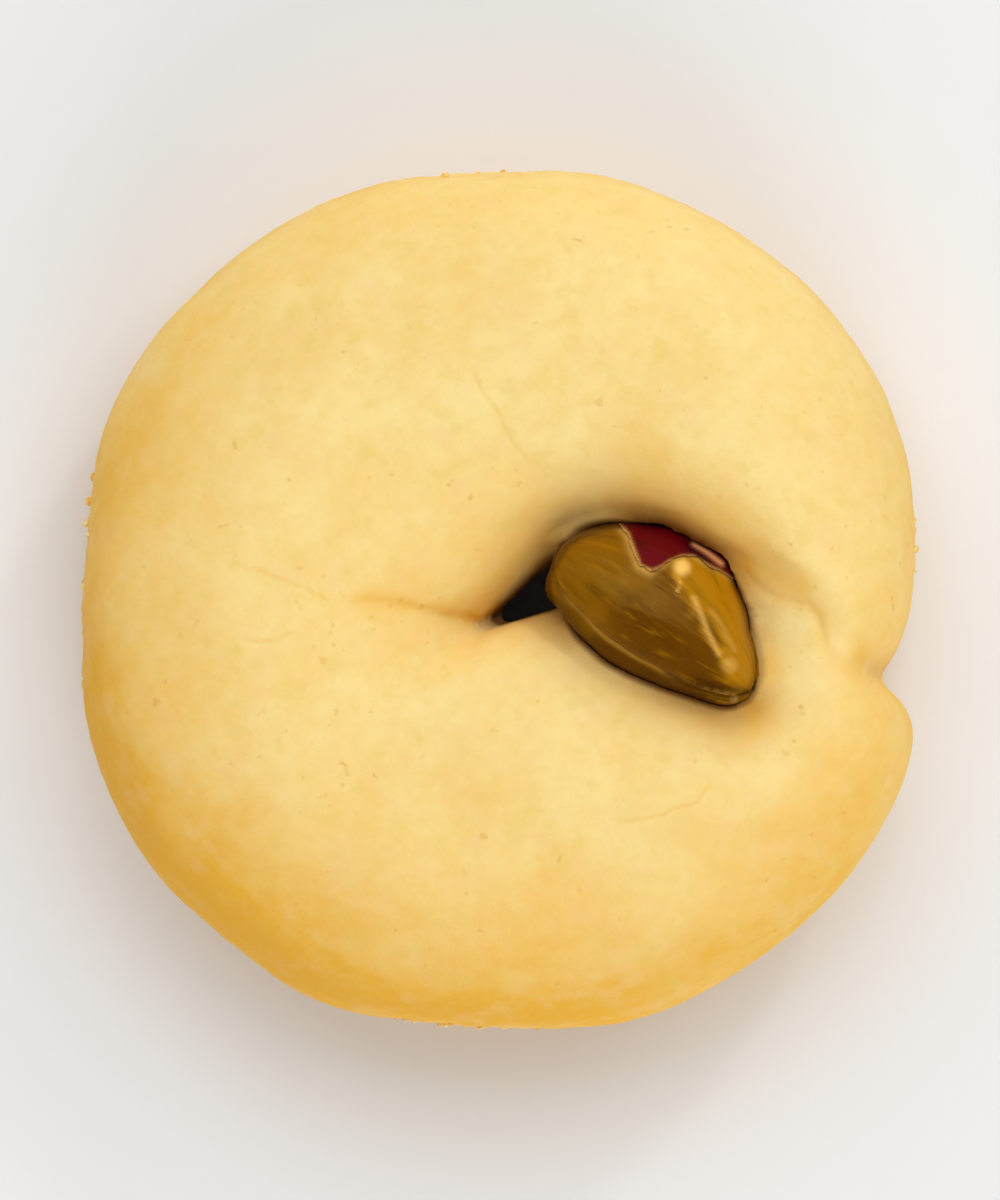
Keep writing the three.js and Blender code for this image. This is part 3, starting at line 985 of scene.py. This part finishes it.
def shape_edges(kernel):
    """Makes the kernel a little narrower and fuller in places, as each nut is."""
    places = moved(point_places(kernel), KERNEL_PLACE)
    push(kernel, -NARROWING * MM, nearness(places, NARROW_EDGE, 1.2))
    push(kernel, FILLING * MM, nearness(places, FULL_EDGE, 1.4))
    push(kernel, HEEL_REACH * MM, heel_weights(point_places(kernel)))
    _, y, z = (point_places(kernel) / MM).T
    brim = smoothstep(-0.8, -2.2, y) * bell(z - 0.5, 0.55)
    push(kernel, -BRIM_RETREAT * MM, brim, direction="Y")
    blunt = blunt_weights(point_places(kernel))
    apply_masked(kernel, "SMOOTH", blunt, factor=0.6, iterations=40)


def model_split(kernel, settings):
    """Splits the kernel's surface between its halves, the lower one with a bead along the split."""
    for reach in (0.8 * MM, 0.45 * MM):
        split_faces(kernel, np.abs(face_centres(kernel)[:, 2]) < reach)
    below = -point_places(kernel)[:, 2]
    bead = smoothstep(0.7 * MM, 0.35 * MM, below) * smoothstep(0.02 * MM, 0.18 * MM, below)
    push(kernel, settings.bead_height, bead)
    below = -point_places(kernel)[:, 2]
    split = bell(below, 0.1 * MM) * (1 - blunt_weights(point_places(kernel)))
    push(kernel, -settings.split_depth, split)


def note_rim(kernel):
    """Notes how near each point lies to the kernel's edge, as seen from above, for the painted
    shade along it.
    """
    turn = np.array(KERNEL_PLACE)[:3, :3]
    seen = point_places(kernel) @ turn.T
    upright = point_normals(kernel) @ turn[2]
    heading = np.arctan2(seen[:, 1], seen[:, 0])
    sector = np.round(heading / (360 / SECTORS * DEGREE)).astype(int) % SECTORS
    reach = np.hypot(seen[:, 0], seen[:, 1])
    edge = [seen[sector == i][np.argmax(reach[sector == i])] for i in range(SECTORS)]
    distance, _ = distance_to_line(seen, np.array(edge + edge[:1])[:, :2])
    rim = smoothstep(RIM_WIDTH, 0.3 * RIM_WIDTH, distance)
    store(kernel, "rim", np.where(upright < 0, 1, rim))


def bare_edge(places, wide, torn):
    """How bare the flesh is along the torn skin, from a strength and a width for each part."""
    return np.maximum(
        wide[0] * nearness(places, SKIN_OUTLINE[:SKIN_PALE_POINTS], wide[1]),
        torn[0] * nearness(places, SKIN_OUTLINE[:SKIN_TORN_POINTS], torn[1]),
    )


def note_kernel_colours(kernel):
    """Notes the painted shade on the rim, in the split, on the heel and by the narrow end, the
    painted highlights on the bead, the raised spots and the ridges, and the bare flesh beside the
    skin.
    """
    below = -point_places(kernel)[:, 2]
    # painted shade in the split
    split = 0.9 * bell(below + 0.04 * MM, 0.15 * MM)
    # painted highlight on the lower half's bead
    bead = 0.75 * bell(below - 0.28 * MM, 0.14 * MM)
    heel = heel_weights(point_places(kernel))
    split *= 1 - blunt_weights(point_places(kernel))
    move_mesh(kernel, KERNEL_PLACE)
    places = point_places(kernel)
    upright = point_normals(kernel)[:, 2]
    # painted shade near the edge seen from above and where the kernel turns away from straight up,
    # with the roasted edge's own dark
    rim = 0.66 * np.maximum(stored(kernel, "rim"), 0.8 * smoothstep(0.4, 0.1, upright))
    rim *= np.interp(heading_from_kernel(places), RIM_HEADINGS, RIM_STRENGTHS)
    # painted shade on the lower half's blunt end, under the upper half
    rim = np.maximum(rim, 0.6 * heel)
    bead *= smoothstep(0.1, 0.3, upright) * nearness(places, LIT_EDGE, 1.0)
    # less of it on the lit bead, and a painted shadow of the split by the narrow end
    rim = np.maximum(rim * (1 - 1.2 * bead), 0.75 * nearness(places, TIP_SHADOW, 0.4))
    store(kernel, "bead", bead)
    store(kernel, "rim", np.maximum(rim, split))
    store(kernel, "shade", 0.24 * nearness(places, DARK_STREAK, 1.3))
    above = top_weights(places)
    bare_and_highlight = above * bare_edge(places, (0.45, 0.32), (0.3, 0.2))
    # painted highlights on the raised spots and along the ridges
    for centre, radius, strength in HIGHLIGHT_SPOTS:
        pale = smoothstep(1.5, 0.35, from_centre(places, centre) / radius)
        bare_and_highlight = np.maximum(bare_and_highlight, strength * above * pale)
    for ridge, strength in zip(RIDGES, RIDGE_HIGHLIGHT):
        bare_and_highlight = np.maximum(bare_and_highlight, strength * above * nearness(places, ridge, 0.17))
    store(kernel, "bare_and_highlight", bare_and_highlight)


def note_grain(kernel):
    """Notes where each point lies along and around the kernel, for streaks that follow it."""
    x, y, z = moved(point_places(kernel), KERNEL_PLACE.inverted()).T
    turn = np.arctan2(z, y)
    around = (GRAIN_RADIUS * np.cos(turn), GRAIN_RADIUS * np.sin(turn))
    grain = np.stack([0.2 * x, *around], axis=1).astype(np.float32)
    attribute = kernel.data.attributes.new("grain", "FLOAT_VECTOR", "POINT")
    attribute.data.foreach_set("vector", grain.ravel())


def raise_ridges(kernel):
    """Raises the short ridges near the narrow end."""
    draw = random.Random(5)
    ridges = [wander(path, draw, 0.5, 0.03) for path in RIDGES]
    push(kernel, RIDGE_HEIGHT * MM, line_weights(kernel, ridges, 0.2 * MM))
    places = point_places(kernel)
    above = top_weights(places)
    for centre, radius, _ in HIGHLIGHT_SPOTS:
        bump_height = 0.4 * radius * MM
        push(kernel, bump_height, above * bell(from_centre(places, centre), radius))


class GHRIBA_OT_kernel(bpy.types.Operator):
    """Model the roasted pistachio kernel."""

    bl_idname = "ghriba.kernel"
    bl_label = "Kernel"

    def execute(self, context):
        settings = context.scene.ghriba_kernel
        kernel = copy_of_node("pistachio_kernel", "kernel")
        move_mesh(kernel, KERNEL_PLACE.inverted())
        fill_groove(kernel)
        remesh(kernel, settings.mesh_size, 6)
        places = point_places(kernel)
        push(kernel, DENT_DEPTH * MM, np.ones(len(places)), clouds("dents", 3.2, 1), 0.4)
        push(kernel, settings.wrinkles, wrinkle_weights(places))
        shape_edges(kernel)
        note_rim(kernel)
        model_split(kernel, settings)
        note_kernel_colours(kernel)
        raise_ridges(kernel)
        note_grain(kernel)
        dress(kernel, kernel_material(settings))
        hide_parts("pistachio_kernel")
        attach(kernel, "root")
        return {"FINISHED"}


def torn_outline():
    """The outline of the skin, its torn edge broken into small steps."""
    draw = random.Random(11)
    outline = []
    for i, (start, end) in enumerate(zip(SKIN_OUTLINE, SKIN_OUTLINE[1:] + SKIN_OUTLINE[:1])):
        outline.append(start)
        if i < SKIN_TORN_POINTS - 1:
            for share in (0.33, 0.67):
                step = [a + share * (b - a) for a, b in zip(start, end)]
                outline.append([place + draw.uniform(-SKIN_STRAY, SKIN_STRAY) for place in step])
    return outline


def skin_cutter():
    """A prism over the kernel with the outline of the skin."""
    outline = torn_outline()
    bottom = KERNEL_CENTRE.z - 0.5 * MM
    mesh = bpy.data.meshes.new("skin_cutter")
    mesh.from_pydata([(x * MM, y * MM, bottom) for x, y in outline], [], [range(len(outline))])
    cutter = new_piece("skin_cutter", mesh)
    edit(cutter)
    bpy.ops.mesh.select_all(action="SELECT")
    bpy.ops.mesh.extrude_region_move(TRANSFORM_OT_translate={"value": (0, 0, 8 * MM)})
    bpy.ops.mesh.select_all(action="SELECT")
    bpy.ops.mesh.normals_make_consistent(inside=False)
    leave_edit()
    return cutter


class GHRIBA_OT_skin(bpy.types.Operator):
    """Lay the torn patch of red skin over the kernel."""

    bl_idname = "ghriba.skin"
    bl_label = "Skin"

    def execute(self, context):
        settings = context.scene.ghriba_kernel
        kernel = bpy.data.objects["kernel"]
        skin = new_piece("kernel_skin", kernel.data.copy())
        skin.data.materials.clear()
        core = new_piece("skin_core", kernel.data.copy())
        everywhere = np.ones(len(skin.data.vertices))
        push(skin, settings.skin_thickness, everywhere)
        push(core, -SKIN_SINK, everywhere)
        cutter = skin_cutter()
        apply_modifier(skin, "BOOLEAN", operation="INTERSECT", object=cutter, solver="EXACT")
        apply_modifier(skin, "BOOLEAN", operation="DIFFERENCE", object=core, solver="EXACT")
        for tool in (cutter, core):
            bpy.data.objects.remove(tool)
        places = point_places(skin)
        store(skin, "bare_and_highlight", bare_edge(places, (0.6, 0.13), (0.35, 0.1)))
        # painted highlight along the streak
        store(skin, "skin_highlight", 0.85 * nearness(places, SKIN_HIGHLIGHT_STREAK, 0.16))
        upright = point_normals(skin)[:, 2]
        # painted shade where the skin turns away from straight up
        store(skin, "rim", 0.8 * smoothstep(0.62, 0.25, upright))
        dress(skin, skin_material(settings))
        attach(skin, "root")
        return {"FINISHED"}


# ---------------------------------------------------------------- the crumbs


def side_places(count, draw):
    """Places on the torn sides of the dough, with the way that the surface faces there."""
    dough = bpy.data.objects["dough"]
    places = point_places(dough)
    normals = point_normals(dough)
    weights = contact_weights(places)
    chosen = draw.choices(range(len(places)), weights=weights.tolist(), k=count)
    return [(Vector(places[i]), Vector(normals[i])) for i in chosen]


def outermost_place(side, y):
    """The point of the dough farthest out on one side of X, at a given y."""
    dough = bpy.data.objects["dough"]
    places = point_places(dough)
    reach = np.where(np.abs(places[:, 1] - y) > 0.3 * MM, -np.inf, side * places[:, 0])
    farthest = int(np.argmax(reach))
    return Vector(places[farthest]), Vector(point_normals(dough)[farthest])


def add_crumb(place, facing, radius, draw):
    """A stretched and turned ball, nearly half of it inside the surface."""
    bpy.ops.mesh.primitive_ico_sphere_add(
        subdivisions=3, radius=radius, location=place + 0.1 * radius * facing
    )
    crumb = bpy.context.object
    crumb.scale = [draw.uniform(0.7, 1.3) for _ in range(3)]
    crumb.rotation_euler = [draw.uniform(0, math.pi) for _ in range(3)]
    return crumb


class GHRIBA_OT_crumbs(bpy.types.Operator):
    """Stick crumbs to the torn sides."""

    bl_idname = "ghriba.crumbs"
    bl_label = "Crumbs"

    def execute(self, context):
        settings = context.scene.ghriba_crumbs
        draw = random.Random(settings.seed)
        made = []
        spots = side_places(settings.count, draw)
        spots += [outermost_place(side, y * MM) for side, y in CRUMB_PLACES]
        for i, (place, facing) in enumerate(spots):
            share = 1.0 if i >= settings.count else draw.random() ** 2
            radius = settings.smallest + share * (settings.largest - settings.smallest)
            made.append(add_crumb(place, facing, radius, draw))
        crumbs = made[0]
        only(crumbs)
        for crumb in made:
            crumb.select_set(True)
        bpy.ops.object.transform_apply(location=True, rotation=True, scale=True)
        bpy.ops.object.join()
        crumbs.name = "crumbs"
        crumbs.data.name = "crumbs"
        bits = clouds("crumb_bits", 0.25, 2)
        push(crumbs, CRUMB_ROUGHNESS, np.ones(len(crumbs.data.vertices)), bits, 0.5)
        dress(crumbs, crumb_material(context.scene.ghriba_dough))
        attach(crumbs, "root")
        return {"FINISHED"}


# ---------------------------------------------------------------- the stage


def add_soft_light(name, heading, height, size, power):
    """A round soft light that faces the cookie from a heading and a height, both in degrees."""
    heading, height = heading * DEGREE, height * DEGREE
    flat = math.cos(height)
    place = Vector((flat * math.cos(heading), flat * math.sin(heading), math.sin(height)))
    bpy.ops.object.light_add(type="AREA", location=place * LIGHT_DISTANCE)
    light = bpy.context.object
    light.name = name
    light.rotation_euler = place.to_track_quat("Z", "Y").to_euler()
    light.data.shape = "DISK"
    light.data.size = size
    light.data.energy = power


def add_world(settings):
    """Soft white light from all round, which is dimmer straight above."""
    world = bpy.data.worlds.new("studio")
    bpy.context.scene.world = world
    world.use_nodes = True
    tree = world.node_tree
    direction = add_node(tree, "ShaderNodeTexCoord").outputs["Generated"]
    axes = add_node(tree, "ShaderNodeSeparateXYZ", {0: direction})
    strength = remap(tree, axes.outputs["Z"], 0.5, 0.87, settings.horizon, settings.zenith)
    set_inputs(
        tree, tree.nodes["Background"], {"Color": (1.0, 1.0, 1.0, 1.0), "Strength": strength}
    )


def add_camera(settings):
    """A camera that looks straight down, with +Y up the picture."""
    middle = (cad_box[0] + cad_box[1]) / 2
    bpy.ops.object.camera_add(
        location=(middle.x, middle.y, settings.camera_height), rotation=(0, 0, 0)
    )
    camera = bpy.context.object
    camera.name = "camera"
    view_height = settings.view_width * PICTURE_HEIGHT / PICTURE_WIDTH
    distance = settings.camera_height - middle.z
    camera.data.lens = camera.data.sensor_width * distance / view_height
    camera.data.clip_start = 0.01
    camera.data.clip_end = 10
    bpy.context.scene.camera = camera


class GHRIBA_OT_stage(bpy.types.Operator):
    """Set up the floor, the lights and the camera."""

    bl_idname = "ghriba.stage"
    bl_label = "Stage"

    def execute(self, context):
        settings = context.scene.ghriba_stage
        bpy.ops.mesh.primitive_plane_add(size=4, location=(0, 0, 0))
        floor = bpy.context.object
        floor.name = "floor"
        floor.data.materials.append(floor_material(settings))
        add_soft_light("key_right", 55, 54, 1.2, settings.key_power)
        add_soft_light("key_left", 111, 54, 1.2, settings.key_power)
        add_soft_light("low_fill", 284, 25, 1.2, settings.low_power)
        add_soft_light("spark", 58, 34, 0.15, settings.spark_power)
        add_world(settings)
        add_camera(settings)
        context.scene.view_settings.view_transform = "Standard"
        return {"FINISHED"}


class GHRIBA_PT_panel(bpy.types.Panel):
    """The steps that make the cookie, and their settings."""

    bl_idname = "GHRIBA_PT_panel"
    bl_label = "Ghriba"
    bl_space_type = "VIEW_3D"
    bl_region_type = "UI"
    bl_category = "Ghriba"

    def draw(self, context):
        layout = self.layout
        for operator in OPERATORS:
            layout.operator(operator.bl_idname)
        for name in SETTINGS:
            settings = getattr(context.scene, name)
            box = layout.box()
            for key in settings.__annotations__:
                box.prop(settings, key)


OPERATORS = [
    GHRIBA_OT_kernel,
    GHRIBA_OT_dough,
    GHRIBA_OT_skin,
    GHRIBA_OT_crumbs,
    GHRIBA_OT_stage,
]
SETTINGS = {
    "ghriba_dough": GhribaDoughSettings,
    "ghriba_kernel": GhribaKernelSettings,
    "ghriba_crumbs": GhribaCrumbSettings,
    "ghriba_stage": GhribaStageSettings,
}


def register():
    for group in SETTINGS.values():
        bpy.utils.register_class(group)
    for name, group in SETTINGS.items():
        setattr(bpy.types.Scene, name, bpy.props.PointerProperty(type=group))
    for operator in OPERATORS:
        bpy.utils.register_class(operator)
    bpy.utils.register_class(GHRIBA_PT_panel)


def unregister():
    bpy.utils.unregister_class(GHRIBA_PT_panel)
    for operator in reversed(OPERATORS):
        bpy.utils.unregister_class(operator)
    for name, group in SETTINGS.items():
        delattr(bpy.types.Scene, name)
        bpy.utils.unregister_class(group)


def main():
    register()
    bpy.ops.ghriba.kernel()
    bpy.ops.ghriba.dough()
    bpy.ops.ghriba.skin()
    bpy.ops.ghriba.crumbs()
    bpy.ops.ghriba.stage()


if __name__ == "__main__":
    main()
